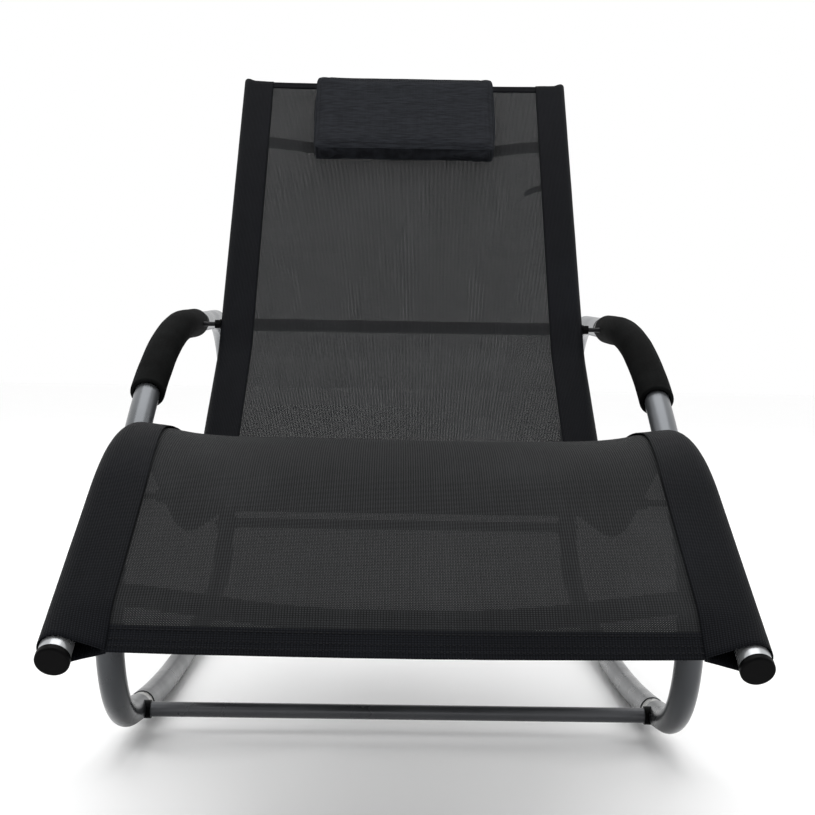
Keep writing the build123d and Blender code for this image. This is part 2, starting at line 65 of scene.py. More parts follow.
# ---------------------------------------------------------------- routes and meshes
def route(corners, bends, step=0.006):
    """Samples (distance, y, z, slope) of a line of straight runs and bends in the side plane."""
    found = []
    walked = 0.0
    here = corners[0]
    slope = 0.0

    def run(start, end, angle):
        nonlocal walked
        length = hypot(end[0] - start[0], end[1] - start[1])
        count = max(1, ceil(length / step))
        for i in range(count):
            share = i / count
            found.append((walked + share * length, start[0] + share * (end[0] - start[0]),
                          start[1] + share * (end[1] - start[1]), angle))
        walked += length

    for i, bend in enumerate(bends, 1):
        before, corner, after = corners[i - 1:i + 2]
        slope = atan2(corner[1] - before[1], corner[0] - before[0])
        turn = atan2(after[1] - corner[1], after[0] - corner[0]) - slope
        cut = bend * tan(abs(turn) / 2)
        start = (corner[0] - cut * cos(slope), corner[1] - cut * sin(slope))
        run(here, start, slope)
        side = 1 if turn > 0 else -1
        centre = (start[0] - side * bend * sin(slope), start[1] + side * bend * cos(slope))
        count = max(1, ceil(bend * abs(turn) / step))
        for k in range(count):
            angle = slope + turn * k / count
            found.append((walked + bend * abs(turn) * k / count, centre[0] + side * bend * sin(angle),
                          centre[1] - side * bend * cos(angle), angle))
        walked += bend * abs(turn)
        here = (corner[0] + cut * cos(slope + turn), corner[1] + cut * sin(slope + turn))
        slope += turn
    run(here, corners[-1], slope)
    found.append((walked, corners[-1][0], corners[-1][1], slope))
    return found


RAIL = route(RAIL_CORNERS, RAIL_BENDS)
RAIL_LENGTH = RAIL[-1][0]
CLOTH_START, CLOTH_END = BARE_FOOT, RAIL_LENGTH + POCKET


def on_rail(s):
    """(y, z, slope) at a distance along the rail from its foot end, past the ends in a straight line."""
    if s <= 0 or s >= RAIL_LENGTH:
        far, y, z, slope = RAIL[0] if s <= 0 else RAIL[-1]
        return y + (s - far) * cos(slope), z + (s - far) * sin(slope), slope
    low, high = 0, len(RAIL) - 1
    while high - low > 1:
        middle = (low + high) // 2
        if RAIL[middle][0] <= s:
            low = middle
        else:
            high = middle
    a, b = RAIL[low], RAIL[high]
    share = (s - a[0]) / (b[0] - a[0])
    return tuple(a[k] + share * (b[k] - a[k]) for k in (1, 2, 3))


def place(x, s, level):
    """A point beside the rail: across, along and towards the sitter."""
    y, z, slope = on_rail(s)
    return Vector((x, y - level * sin(slope), z + level * cos(slope)))


def smooth(low, high, value):
    share = min(max((value - low) / (high - low), 0.0), 1.0)
    return share * share * (3 - 2 * share)


def grid(name, rows, uvs, wrap=False, start_cap=False, end_cap=False):
    """A mesh over rows of points; uvs match it, with one more column where the rows wrap round."""
    across = len(rows[0])
    verts = [tuple(p) for row in rows for p in row]
    faces, corners = [], []
    for i in range(len(rows) - 1):
        for k in range(across if wrap else across - 1):
            after = (k + 1) % across
            faces.append((i * across + k, i * across + after, (i + 1) * across + after, (i + 1) * across + k))
            corners.append((uvs[i][k], uvs[i][k + 1], uvs[i + 1][k + 1], uvs[i + 1][k]))
    for wanted, row in ((start_cap, 0), (end_cap, len(rows) - 1)):
        if wanted:
            ring = [row * across + k for k in range(across)]
            ring = ring[::-1] if row == 0 else ring
            faces.append(tuple(ring))
            corners.append(tuple(uvs[row][k % across] for k in ring))
    mesh = bpy.data.meshes.new(name)
    mesh.from_pydata(verts, [], faces)
    layer = mesh.uv_layers.new(name="cloth")
    at = 0
    for face in corners:
        for uv in face:
            layer.data[at].uv = uv
            at += 1
    mesh.polygons.foreach_set("use_smooth", [True] * len(mesh.polygons))
    mesh.update()
    piece = bpy.data.objects.new(name, mesh)
    bpy.context.scene.collection.objects.link(piece)
    return piece


def outward(piece):
    """Turns a closed mesh's faces to look outwards."""
    work = bmesh.new()
    work.from_mesh(piece.data)
    bmesh.ops.recalc_face_normals(work, faces=work.faces)
    work.to_mesh(piece.data)
    work.free()


def thicken(piece, thickness, offset):
    """Gives a sheet its thickness; offset 0 puts half on each side."""
    layer = piece.modifiers.new("cloth", "SOLIDIFY")
    layer.thickness = thickness
    layer.offset = offset
    layer.use_even_offset = False


def settle(piece):
    """Applies a piece's modifiers to its mesh."""
    graph = bpy.context.evaluated_depsgraph_get()
    made = bpy.data.meshes.new_from_object(piece.evaluated_get(graph), depsgraph=graph)
    piece.modifiers.clear()
    old = piece.data
    piece.data = made
    bpy.data.meshes.remove(old)


def stitches(name, lines, length=0.0030, pitch=0.0042, radius=0.00034, sink=0.0):
    """Short thread stitches along lines of (point, normal) samples, as one mesh."""
    verts, faces = [], []
    for line in lines:
        walked, wanted = 0.0, pitch / 2
        for (a, up_a), (b, up_b) in zip(line, line[1:]):
            run = (b - a).length
            while run > 0 and wanted <= walked + run:
                share = (wanted - walked) / run
                along = (b - a).normalized()
                up = up_a.lerp(up_b, share).normalized()
                side = along.cross(up).normalized()
                middle = a.lerp(b, share) + up * (radius * 0.35 - sink)
                first = len(verts)
                verts.append(middle - along * length / 2 - up * radius * 0.7)
                for step in (-0.28, 0.28):
                    for k in range(6):
                        turn = 2 * pi * k / 6
                        verts.append(middle + along * step * length + side * radius * cos(turn)
                                     + up * radius * sin(turn))
                verts.append(middle + along * length / 2 - up * radius * 0.7)
                for k in range(6):
                    after = (k + 1) % 6
                    faces.append((first, first + 1 + after, first + 1 + k))
                    faces.append((first + 1 + k, first + 1 + after, first + 7 + after, first + 7 + k))
                    faces.append((first + 7 + k, first + 7 + after, first + 13))
                wanted += pitch
            walked += run
    mesh = bpy.data.meshes.new(name)
    mesh.from_pydata([tuple(v) for v in verts], [], faces)
    mesh.polygons.foreach_set("use_smooth", [True] * len(mesh.polygons))
    piece = bpy.data.objects.new(name, mesh)
    bpy.context.scene.collection.objects.link(piece)
    outward(piece)
    return piece


# ---------------------------------------------------------------- materials
class Look:
    """A node material with one Principled shader, and short calls for its nodes."""

    def __init__(self, name, color, roughness, **sockets):
        self.material = bpy.data.materials.new(name)
        self.material.use_nodes = True
        self.tree = self.material.node_tree
        self.tree.nodes.clear()
        self.out = self.tree.nodes.new("ShaderNodeOutputMaterial")
        self.shader = self.tree.nodes.new("ShaderNodeBsdfPrincipled")
        self.tree.links.new(self.shader.outputs[0], self.out.inputs[0])
        self.set("Base Color", (*color, 1.0))
        self.set("Roughness", roughness)
        for socket, value in sockets.items():
            self.set(socket.replace("_", " "), value)
        self.material.diffuse_color = (*color, 1.0)

    def set(self, socket, value):
        if isinstance(value, bpy.types.NodeSocket):
            self.tree.links.new(value, self.shader.inputs[socket])
        else:
            self.shader.inputs[socket].default_value = value

    def node(self, kind, inputs=None, out=0, **settings):
        made = self.tree.nodes.new(kind)
        for key, value in settings.items():
            setattr(made, key, value)
        for key, value in (inputs or {}).items():
            if isinstance(value, bpy.types.NodeSocket):
                self.tree.links.new(value, made.inputs[key])
            else:
                made.inputs[key].default_value = value
        return made.outputs[out]

    def math(self, operation, *values, clamp=False):
        return self.node("ShaderNodeMath", dict(enumerate(values)), operation=operation, use_clamp=clamp)

    def position(self):
        return self.node("ShaderNodeTexCoord", out="Object")

    def turned(self, slope):
        """Object position turned so that Y runs along a slope."""
        return self.node("ShaderNodeMapping", {"Vector": self.position(), "Rotation": (-slope, 0, 0)})

    def noise(self, scale, detail=3.0, where=None, roughness=0.55):
        return self.node("ShaderNodeTexNoise", {"Vector": where or self.position(), "Scale": scale,
                                                "Detail": detail, "Roughness": roughness})

    def ramp(self, value, low, high, from_value=0.0, to_value=1.0):
        return self.node("ShaderNodeMapRange", {"Value": value, "From Min": low, "From Max": high,
                                                "To Min": from_value, "To Max": to_value},
                         interpolation_type="SMOOTHSTEP")

    def mix(self, share, dark, light):
        made = self.tree.nodes.new("ShaderNodeMix")
        made.data_type = "RGBA"
        for index, value in ((0, share), (6, dark), (7, light)):
            if isinstance(value, bpy.types.NodeSocket):
                self.tree.links.new(value, made.inputs[index])
            else:
                made.inputs[index].default_value = value if index == 0 else (*value, 1.0)
        return made.outputs[2]

    def bump(self, height, distance, strength=1.0, after=None):
        inputs = {"Height": height, "Distance": distance, "Strength": strength}
        if after is not None:
            inputs["Normal"] = after
        made = self.node("ShaderNodeBump", inputs)
        self.set("Normal", made)
        return made

    def weave(self, where, pitch_across, pitch_along):
        """Over and under yarns: (height of the cloth, openness between the yarns, yarn number noise)."""
        split = self.tree.nodes.new("ShaderNodeSeparateXYZ")
        self.tree.links.new(where, split.inputs[0])
        u = self.math("MULTIPLY", split.outputs[0], 1 / pitch_across)
        v = self.math("MULTIPLY", split.outputs[1], 1 / pitch_along)
        warp = self.math("ABSOLUTE", self.math("SINE", self.math("MULTIPLY", u, pi)))
        weft = self.math("ABSOLUTE", self.math("SINE", self.math("MULTIPLY", v, pi)))
        column = self.math("FLOOR", u)
        row = self.math("FLOOR", v)
        odd = self.math("ABSOLUTE", self.math("MODULO", self.math("ADD", column, row), 2.0))
        warp_top = self.math("MULTIPLY", self.math("POWER", warp, 0.6), self.math("ADD", 0.45, self.math(
            "MULTIPLY", 0.55, self.math("MULTIPLY", odd, weft))))
        weft_top = self.math("MULTIPLY", self.math("POWER", weft, 0.6), self.math("ADD", 0.45, self.math(
            "MULTIPLY", 0.55, self.math("MULTIPLY", self.math("SUBTRACT", 1.0, odd), warp))))
        height = self.math("MAXIMUM", warp_top, weft_top)
        gap = self.math("MAXIMUM", warp, weft)
        opened = self.ramp(gap, 0.36, 0.22)
        yarn = self.node("ShaderNodeTexNoise", {"Vector": self.node(
            "ShaderNodeCombineXYZ", {0: column, 1: self.math("MULTIPLY", v, 0.02), 2: 0.0}), "Scale": 0.73,
            "Detail": 1.0})
        slub = self.node("ShaderNodeTexNoise", {"Vector": self.node(
            "ShaderNodeCombineXYZ", {0: self.math("MULTIPLY", u, 0.02), 1: row, 2: 4.0}), "Scale": 0.73,
            "Detail": 1.0})
        return height, opened, self.math("MULTIPLY", self.math("ADD", yarn, slub), 0.5)


def uv_of(look):
    made = look.tree.nodes.new("ShaderNodeUVMap")
    made.uv_map = "cloth"
    return made.outputs[0]


def mesh_cloth(name, color, opening):
    look = Look(name, color, 0.6, Specular_IOR_Level=0.05)
    height, opened, yarn = look.weave(uv_of(look), 0.0019, 0.0017)
    shade = look.mix(look.ramp(yarn, 0.3, 0.7), tuple(0.85 * c for c in color),
                     tuple(1.18 * c for c in color))
    # low places between the yarns are darkened: painted shade
    between = look.mix(look.ramp(height, 0.45, 0.95), tuple(0.3 * c for c in color), shade)
    dust = look.noise(9.0, 4.0)
    look.set("Base Color", look.mix(look.ramp(dust, 0.45, 0.8, 0.0, 0.2), between,
                                    tuple(1.9 * c for c in color)))
    look.set("Roughness", look.ramp(height, 0.1, 0.95, 0.8, 0.5))
    look.bump(height, 0.0006, 1.0)
    if opening:
        split = look.tree.nodes.new("ShaderNodeSeparateXYZ")
        look.tree.links.new(uv_of(look), split.inputs[0])
        # the gaps grow from the knee to the back, set so that the back shows lighter than the front
        taut = look.ramp(split.outputs[1], 0.40, 0.85, 0.30 * opening, opening)
        look.set("Alpha", look.math("SUBTRACT", 1.0, look.math("MULTIPLY", opened, taut)))
    return look.material


MESH_LOOK = mesh_cloth("woven_mesh", (0.0195, 0.0204, 0.0216), 0.80)
# the same black cloth as the woven mesh, made darker with painted shade for the doubled layers and the tubes
# inside them
DOUBLE_LOOK = mesh_cloth("doubled_mesh", (0.0046, 0.0053, 0.0074), 0.0)


def paint(name, color, roughness, metallic, speck, height_shading=0.0):
    """Powder paint with orange peel, faint dust, small rubbed patches, and a painted shade darker near the
    floor with painted light higher up.
    """
    look = Look(name, color, roughness, Metallic=metallic, Coat_Weight=0.06, Coat_Roughness=0.25)
    cloud = look.noise(14.0, 5.0)
    rub = look.ramp(look.noise(160.0, 2.0), 0.66, 0.74)
    split = look.tree.nodes.new("ShaderNodeSeparateXYZ")
    look.tree.links.new(look.position(), split.inputs[0])
    height_shade_factor = look.ramp(split.outputs[2], 0.12, 0.42, 1 - height_shading, 1 + height_shading)  # painted shade darker near the floor and painted light higher up
    # the random tone is multiplied by the painted shade and light by height
    tone = look.math("MULTIPLY", look.ramp(cloud, 0.3, 0.75, 0.9, 1.1), height_shade_factor)
    base = look.node("ShaderNodeVectorMath", {0: color, 1: look.node("ShaderNodeCombineXYZ", {
        0: tone, 1: tone, 2: tone})}, operation="MULTIPLY")
    rubbed = look.math("MULTIPLY", rub, speck)
    look.set("Base Color", look.mix(rubbed, base, tuple(0.6 * c for c in color)))
    look.set("Roughness", look.ramp(cloud, 0.3, 0.75, roughness - 0.05, roughness + 0.09))
    look.bump(look.noise(900.0, 2.0), 0.00006, 0.5)
    return look.material


# the last number sets how strongly the ring paint carries painted shade near the floor and painted light
# higher up
RING_LOOK = paint("ring_paint", (0.096, 0.101, 0.108), 0.30, 0.85, 0.15, 0.40)
BAR_LOOK = paint("bar_paint", (0.060, 0.062, 0.067), 0.32, 0.6, 0.25)
RAIL_LOOK = paint("rail_paint", (0.42, 0.43, 0.44), 0.28, 0.85, 0.3)

look = Look("bare_zinc", (0.5, 0.5, 0.49), 0.42, Metallic=0.9)
spangle = look.node("ShaderNodeTexVoronoi", {"Vector": look.position(), "Scale": 260.0}, out="Color")
tone = look.node("ShaderNodeSeparateColor", {0: spangle})
mottle = look.ramp(look.noise(240.0, 4.0), 0.35, 0.68)
look.set("Base Color", look.mix(look.math("MULTIPLY", look.math("ADD", tone, mottle), 0.5),
                                (0.16, 0.16, 0.155), (0.62, 0.62, 0.6)))
look.set("Roughness", look.ramp(mottle, 0.0, 1.0, 0.3, 0.6))
look.bump(mottle, 0.0001, 0.5)
ZINC_LOOK = look.material

look = Look("black_plastic", (0.004, 0.004, 0.0045), 0.42, Specular_IOR_Level=0.04)
grain = look.noise(1500.0, 2.0)
look.set("Roughness", look.ramp(look.noise(60.0, 3.0), 0.3, 0.7, 0.3, 0.5))
look.set("Base Color", look.mix(look.ramp(look.noise(35.0, 4.0), 0.5, 0.8), (0.0006, 0.0006, 0.0007),
                                (0.0018, 0.0018, 0.0018)))
look.bump(grain, 0.00005, 0.5)
PLASTIC_LOOK = look.material

look = Look("black_steel", (0.012, 0.012, 0.013), 0.4, Metallic=0.8)
wear = look.ramp(look.noise(380.0, 4.0), 0.56, 0.7)
look.set("Base Color", look.mix(wear, (0.010, 0.010, 0.011), (0.06, 0.06, 0.06)))
look.bump(look.noise(900.0, 2.0), 0.00005, 0.4)
STEEL_LOOK = look.material

look = Look("grip_foam", (0.006, 0.006, 0.007), 0.88, Specular_IOR_Level=0.05)
cells = look.node("ShaderNodeTexVoronoi", {"Vector": look.position(), "Scale": 1400.0}, out="Distance")
soft_cells = look.noise(420.0, 3.0)
look.set("Base Color", look.mix(look.ramp(look.noise(26.0, 4.0), 0.35, 0.75), (0.0014, 0.0015, 0.0015),
                                (0.0038, 0.0042, 0.0042)))
look.set("Roughness", look.ramp(soft_cells, 0.3, 0.7, 0.82, 0.95))
look.bump(look.math("ADD", cells, look.math("MULTIPLY", soft_cells, 1.5)), 0.00018, 0.6)
FOAM_LOOK = look.material


def thread(name, color):
    look = Look(name, color, 0.7, Specular_IOR_Level=0.12)
    ply = look.node("ShaderNodeTexWave", {"Vector": look.position(), "Scale": 900.0, "Distortion": 1.5},
                    bands_direction="DIAGONAL", out="Fac")
    # the grooves between the plies are darker: painted shade
    look.set("Base Color", look.mix(ply, tuple(0.6 * c for c in color), color))
    look.bump(ply, 0.00006, 0.5)
    return look.material


THREAD_LOOK = thread("black_thread", (0.006, 0.006, 0.007))
PALE_THREAD_LOOK = thread("grey_thread", (0.011, 0.0115, 0.013))

look = Look("pillow_cloth", (0.014, 0.015, 0.019), 0.85, Specular_IOR_Level=0.08)
where = look.turned(BACK)
height, _, yarn = look.weave(where, 0.0011, 0.0010)
streak = look.node("ShaderNodeTexNoise", {"Vector": look.node(
    "ShaderNodeMapping", {"Vector": where, "Scale": (60.0, 900.0, 60.0)}), "Scale": 1.0, "Detail": 3.0})
fleck = look.math("ADD", look.math("MULTIPLY", yarn, 0.25), look.math("MULTIPLY", streak, 0.75))
look.set("Base Color", look.mix(look.ramp(fleck, 0.36, 0.64), (0.0068, 0.0075, 0.0092),
                                (0.0150, 0.0165, 0.0200)))
rough_cloth = look.math("ADD", look.math("MULTIPLY", height, 0.7), look.math("MULTIPLY", streak, 0.6))
look.bump(rough_cloth, 0.0003, 0.8)
PILLOW_LOOK = look.material

look = Look("black_webbing", (0.008, 0.008, 0.009), 0.7, Specular_IOR_Level=0.1)
height, _, _ = look.weave(look.position(), 0.0011, 0.0009)
# low places of the weave are darker: painted shade
look.set("Base Color", look.mix(height, (0.004, 0.004, 0.0045), (0.012, 0.012, 0.0135)))
look.bump(height, 0.0003, 0.8)
WEB_LOOK = look.material


def finish_piece(piece, material, body="frame", replaced=()):
    piece.data.materials.clear()
    piece.data.materials.append(material)
    if replaced:
        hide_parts(*replaced)
    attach(piece, body)


def dress(node, material):
    """Gives a CAD node its better material."""
    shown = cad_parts[node]
    if not shown.material_slots:
        shown.data.materials.append(material)
    for held in shown.material_slots:
        held.link = "OBJECT"
        held.material = material


for side in ("left", "right"):
    dress(f"ring_front_{side}", RING_LOOK)
    dress(f"ring_rear_{side}", RING_LOOK)
    dress(f"rail_{side}", RAIL_LOOK)
    dress(f"floor_insert_{side}", ZINC_LOOK)
    dress(f"arm_insert_{side}", ZINC_LOOK)
    dress(f"foot_cap_{side}", PLASTIC_LOOK)
    dress(f"head_cap_{side}", PLASTIC_LOOK)
for node in ("lumbar_crossbar", "thigh_crossbar", "calf_crossbar", "head_crossbar",
             "ring_crossbar_front", "ring_crossbar_rear"):
    dress(node, BAR_LOOK)
for node in ("crossbar_collars", "crossbar_plugs", "spacer_nuts", "hanger_rod"):
    dress(node, PLASTIC_LOOK)
for node in ("ring_bolts", "ring_crossbar_bolts", "crossbar_screws"):
    dress(node, STEEL_LOOK)


# ---------------------------------------------------------------- sling
CREASE_HEIGHTS = (0.69, 0.595, 0.552, 0.405)
KNEE_S = 0.335
KNEE_DIP = 0.0070
KNEE_PULL = 0.007


def knee_at(s):
    return exp(-((s - KNEE_S) / 0.085) ** 2)


def seam_at(s):
    """Where the sleeve's seam runs, from the middle; it is pulled towards the rail over the knee."""
    return SEAM_X + KNEE_PULL * knee_at(s)


def level_at(s):
    """How far the cloth's seam lies towards the sitter; lower near the foot end."""
    return LEVEL - 0.0115 * smooth(0.050, 0.0, s) - 0.0015 * knee_at(s)


def cloth_level(x, s):
    """Level of the sling's cloth: taut at the seams, with a slight belly and faint creases."""
    across = 1 - min(abs(x) / seam_at(s), 1.0) ** 2
    belly = 0.0006 + 0.0010 * smooth(RAIL_LENGTH - 0.10, RAIL_LENGTH, s) + 0.0020 * smooth(0.05, 0.0, s)
    bowed = 1 - min(abs(x) / seam_at(s), 1.0) ** 8  # the sling is pulled straight over the knee
    level = level_at(s) - belly * across - KNEE_DIP * knee_at(s) * bowed
    height = on_rail(s)[1]
    if s > 0.8:
        for i, at in enumerate(CREASE_HEIGHTS):
            drift = 0.006 * noise.noise(Vector((x * 7, i * 3.1, 0.5)))
            away = (height - at - drift) / 0.0045
            level -= 0.0007 * exp(-away * away) * (0.5 + 0.5 * noise.noise(Vector((x * 5 + i * 9, 1.7, 0.0))))
    level += 0.0004 * across * noise.noise(Vector((x * 6.0, s * 9.0, 2.0)))
    return level


def sling_rows(start, end, step, half, columns):
    count = ceil((end - start) / step)
    rows, uvs = [], []
    for i in range(count + 1):
        s = start + (end - start) * i / count
        wide = half + seam_at(s) - SEAM_X
        xs = [wide * (2 * k / columns - 1) for k in range(columns + 1)]
        rows.append([place(x, s, cloth_level(x, s)) for x in xs])
        uvs.append([(x, s) for x in xs])
    return rows, uvs


SLING_HALF = SEAM_X + 0.003
STATION = 0.0055  # between cloth rows along the rail
SLING_COLUMNS = 72
rows, uvs = sling_rows(CLOTH_START + 0.004, CLOTH_END - 0.003, STATION, SLING_HALF, SLING_COLUMNS)
sling = grid("sling_cloth", rows, uvs)
finish_piece(sling, MESH_LOOK, replaced=["sling_mesh"])


def hem(name, start, end, thickness, node):
    """A folded edge: a flat loop of cloth across the sling."""
    rows, uvs = [], []
    steps = 8
    outline = []
    middle, half = (start + end) / 2, (end - start) / 2
    r = thickness / 2
    for k in range(steps + 1):
        outline.append((middle + (half - r) * (2 * k / steps - 1), r))
    for k in range(1, 6):
        turn = pi / 2 - pi * k / 6
        outline.append((middle + half - r + r * cos(turn), r * sin(turn)))
    for k in range(steps + 1):
        outline.append((middle + (half - r) * (1 - 2 * k / steps), -r))
    for k in range(1, 6):
        turn = -pi / 2 - pi * k / 6
        outline.append((middle - half + r + r * cos(turn), r * sin(turn)))
    for i in range(SLING_COLUMNS + 1):
        x = SLING_HALF * (2 * i / SLING_COLUMNS - 1)
        row = []
        for s, up in outline:
            puff = 1 + 0.18 * noise.noise(Vector((x * 40, s * 60, up * 200)))
            row.append(place(x, s, cloth_level(x, s) + up * puff))
        rows.append(row)
        walked, line = 0.0, [0.0]
        for a, b in zip(outline, outline[1:] + outline[:1]):
            walked += hypot(b[0] - a[0], b[1] - a[1])
            line.append(walked)
        uvs.append([(x, start + w) for w in line])
    piece = grid(name, rows, uvs, wrap=True, start_cap=True, end_cap=True)
    outward(piece)
    finish_piece(piece, DOUBLE_LOOK, replaced=[node])
    return piece


FOOT_HEM, HEAD_HEM, HEM_T = 0.020, 0.012, 0.0028
foot_hem = hem("foot_hem_cloth", CLOTH_START, CLOTH_START + FOOT_HEM, HEM_T, "foot_hem")
head_hem = hem("head_hem_cloth", CLOTH_END - HEAD_HEM, CLOTH_END, HEM_T, "head_hem")


def across_line(s, lift):
    """Samples (point, normal) across the sling, a little above its cloth."""
    line = []
    for k in range(121):
        x = SEAM_X * (2 * k / 120 - 1)
        slope = on_rail(s)[2]
        line.append((place(x, s, cloth_level(x, s) + lift), Vector((0, -sin(slope), cos(slope)))))
    return line


hem_lines = [across_line(CLOTH_START + at, 0.0015) for at in (0.0035, 0.0085, 0.0160)]
hem_lines += [across_line(CLOTH_END - at, 0.0015) for at in (0.0032, 0.0095)]
hem_stitches = stitches("hem_stitches", hem_lines)
finish_piece(hem_stitches, THREAD_LOOK)


# ---------------------------------------------------------------- sleeves
def sleeve_loop(seam_x, seam_level):
    """The sleeve's outline round the rail and in to the seam, as (across, level, share of the way round)."""
    reach = RAIL_X - seam_x
    distance = hypot(reach, seam_level)
    lean = atan2(seam_level, -reach)
    open_angle = atan2(sqrt(distance ** 2 - CLOTH_R ** 2), CLOTH_R)
    top, low = lean - open_angle, lean + open_angle
    points = []
    start = (-reach, seam_level + 0.0011)
    touch = (CLOTH_R * cos(top), CLOTH_R * sin(top))
    for k in range(9):
        share = k / 9
        points.append((start[0] + share * (touch[0] - start[0]),
                       start[1] + share * (touch[1] - start[1]), 1.0))
    arc = 2 * pi - 2 * open_angle
    for k in range(25):
        angle = top - arc * k / 24
        points.append((CLOTH_R * cos(angle), CLOTH_R * sin(angle), 0.0))
    end = (-reach, seam_level - 0.0011)
    touch = (CLOTH_R * cos(low), CLOTH_R * sin(low))
    for k in range(1, 10):
        share = k / 9
        points.append((touch[0] + share * (end[0] - touch[0]), touch[1] + share * (end[1] - touch[1]), 1.0))
    return points


SLEEVE_CLOTH = 0.0008
EAR, EAR_RUN = 0.0075, 0.02  # a sleeve's outer corner stands up at the head end
seam_lines = []
for side, sign in (("left", -1), ("right", 1)):
    rows, uvs = [], []
    count = ceil((CLOTH_END - CLOTH_START) / STATION)
    inner_line, outer_line = [], []
    for i in range(count + 1):
        s = CLOTH_START + (CLOTH_END - CLOTH_START) * i / count
        loop = sleeve_loop(seam_at(s), level_at(s))
        row, walked, line = [], 0.0, [0.0]
        for k, (x, up, loose) in enumerate(loop):
            ripple = noise.noise(Vector((x * 60, s * 22 + sign * 7, up * 60)))
            fine = noise.noise(Vector((x * 150, s * 85 + sign * 3, up * 150)))
            puff = 1 + loose * (0.05 * ripple + 0.02 * fine) + (1 - loose) * 0.012 * max(ripple, 0.0)
            ear = 0.0
            if s > CLOTH_END - EAR_RUN:
                ear = EAR * smooth(CLOTH_END - EAR_RUN, CLOTH_END, s) * smooth(-0.005, 0.0115, x)
            px, plevel = RAIL_X + x * (puff if loose == 0 else 1), up * puff
            row.append(place(sign * px, s + ear, plevel))
            if k:
                walked += hypot(x - loop[k - 1][0], up - loop[k - 1][1])
                line.append(walked)
        rows.append(row)
        uvs.append([(0.3 + w, s) for w in line])
        slope = on_rail(s)[2]
        up_way = Vector((0, -sin(slope), cos(slope)))
        inner_line.append((row[1] + up_way * 0.0002, up_way))
        outer_line.append((row[3] + up_way * 0.0002, up_way))
    piece = grid(f"sleeve_cloth_{side}", rows, uvs)
    if sign > 0:
        piece.data.flip_normals()
    thicken(piece, SLEEVE_CLOTH, -1.0)
    finish_piece(piece, DOUBLE_LOOK, replaced=[f"sleeve_{side}"])
    seam_lines += [inner_line, outer_line]
seam_stitches = stitches("seam_stitches", seam_lines)
finish_piece(seam_stitches, PALE_THREAD_LOOK)


# ---------------------------------------------------------------- armrest foam
def foam_route():
    """Samples (distance, y, z, slope) of the foam's centreline, from its lower end."""
    found, walked = [], 0.0
    span = FOAM_SLOPE - ARM_SLOPE
    count = 60
    for k in range(count):
        angle = FOAM_SLOPE - span * k / count
        found.append((ARM_R * span * k / count, ARM_CENTRE[0] - ARM_R * sin(angle),
                      ARM_CENTRE[1] + ARM_R * cos(angle), angle))
    walked = ARM_R * span
    start = (ARM_CENTRE[0] - ARM_R * sin(ARM_SLOPE), ARM_CENTRE[1] + ARM_R * cos(ARM_SLOPE))
    run = (FOAM_END_Y - start[0]) / cos(ARM_SLOPE)
    for k in range(15):
        found.append((walked + run * k / 14, start[0] + run * cos(ARM_SLOPE) * k / 14,
                      start[1] + run * sin(ARM_SLOPE) * k / 14, ARM_SLOPE))
    return found


FOAM = foam_route()
BORE_R = 0.0143
LIP = 0.0028
FOAM_SIDES = 40
for side, sign in (("left", -1), ("right", 1)):
    lips = []
    for k in range(7):
        turn = pi / 2 * k / 6
        lips.append((LIP * (1 - sin(turn)), FOAM_R - LIP * (1 - cos(turn))))
    rows, uvs = [], []

    def ring_row(s, y, z, slope, radius, fuzz):
        row = []
        for k in range(FOAM_SIDES):
            turn = 2 * pi * k / FOAM_SIDES
            around = Vector((cos(turn) * 1.5, sin(turn) * 1.5 + sign * 5, s * 30))
            wave = fuzz * (0.00035 * noise.noise(around))
            r = radius + wave
            up, across = r * sin(turn), r * cos(turn)
            row.append(Vector((sign * RING_X + across, y - up * sin(slope), z + up * cos(slope))))
        rows.append(row)
        uvs.append([(2 * pi * FOAM_R * k / FOAM_SIDES, s) for k in range(FOAM_SIDES + 1)])

    _, y0, z0, a0 = FOAM[0]
    s1, y1, z1, a1 = FOAM[-1]
    ring_row(0.012, y0 + 0.012 * cos(a0), z0 + 0.012 * sin(a0), a0, BORE_R, 0)
    ring_row(0.0012, y0 + 0.0012 * cos(a0), z0 + 0.0012 * sin(a0), a0, BORE_R + 0.0002, 0)
    ring_row(0.0, y0, z0, a0, BORE_R + 0.0012, 0)
    for back, radius in lips[::-1]:
        ring_row(back, y0 + back * cos(a0), z0 + back * sin(a0), a0, radius, 0.5)
    for s, y, z, slope in FOAM:
        if LIP < s < s1 - LIP:
            ring_row(s, y, z, slope, FOAM_R, 1)
    for back, radius in lips:
        ring_row(s1 - back, y1 - back * cos(a1), z1 - back * sin(a1), a1, radius, 0.5)
    ring_row(s1, y1, z1, a1, BORE_R + 0.0012, 0)
    ring_row(s1 - 0.0012, y1 - 0.0012 * cos(a1), z1 - 0.0012 * sin(a1), a1, BORE_R + 0.0002, 0)
    ring_row(s1 - 0.012, y1 - 0.012 * cos(a1), z1 - 0.012 * sin(a1), a1, BORE_R, 0)
    piece = grid(f"foam_grip_{side}", rows, uvs, wrap=True)
    outward(piece)
    finish_piece(piece, FOAM_LOOK, replaced=[f"arm_foam_{side}"])


# ---------------------------------------------------------------- pillow
PILLOW_W, PILLOW_L, PILLOW_T = 0.265, 0.142, 0.032
PILLOW_TOP = -0.0125
PILLOW_CORNER = 0.011
PILLOW_BACK = 0.0123  # its back, towards the sitter from the rail's centreline
along = Vector((0, cos(BACK), sin(BACK)))
towards = Vector((0, -sin(BACK), cos(BACK)))
head = Vector((0, *RAIL_CORNERS[-1]))
pillow_middle = head + along * (PILLOW_TOP - PILLOW_L / 2) + towards * (PILLOW_BACK + PILLOW_T / 2)
TO_ROW = Matrix((
    (1, 0, 0, pillow_middle.x),
    (0, along.y, towards.y, pillow_middle.y),
    (0, along.z, towards.z, pillow_middle.z),
    (0, 0, 0, 1)))


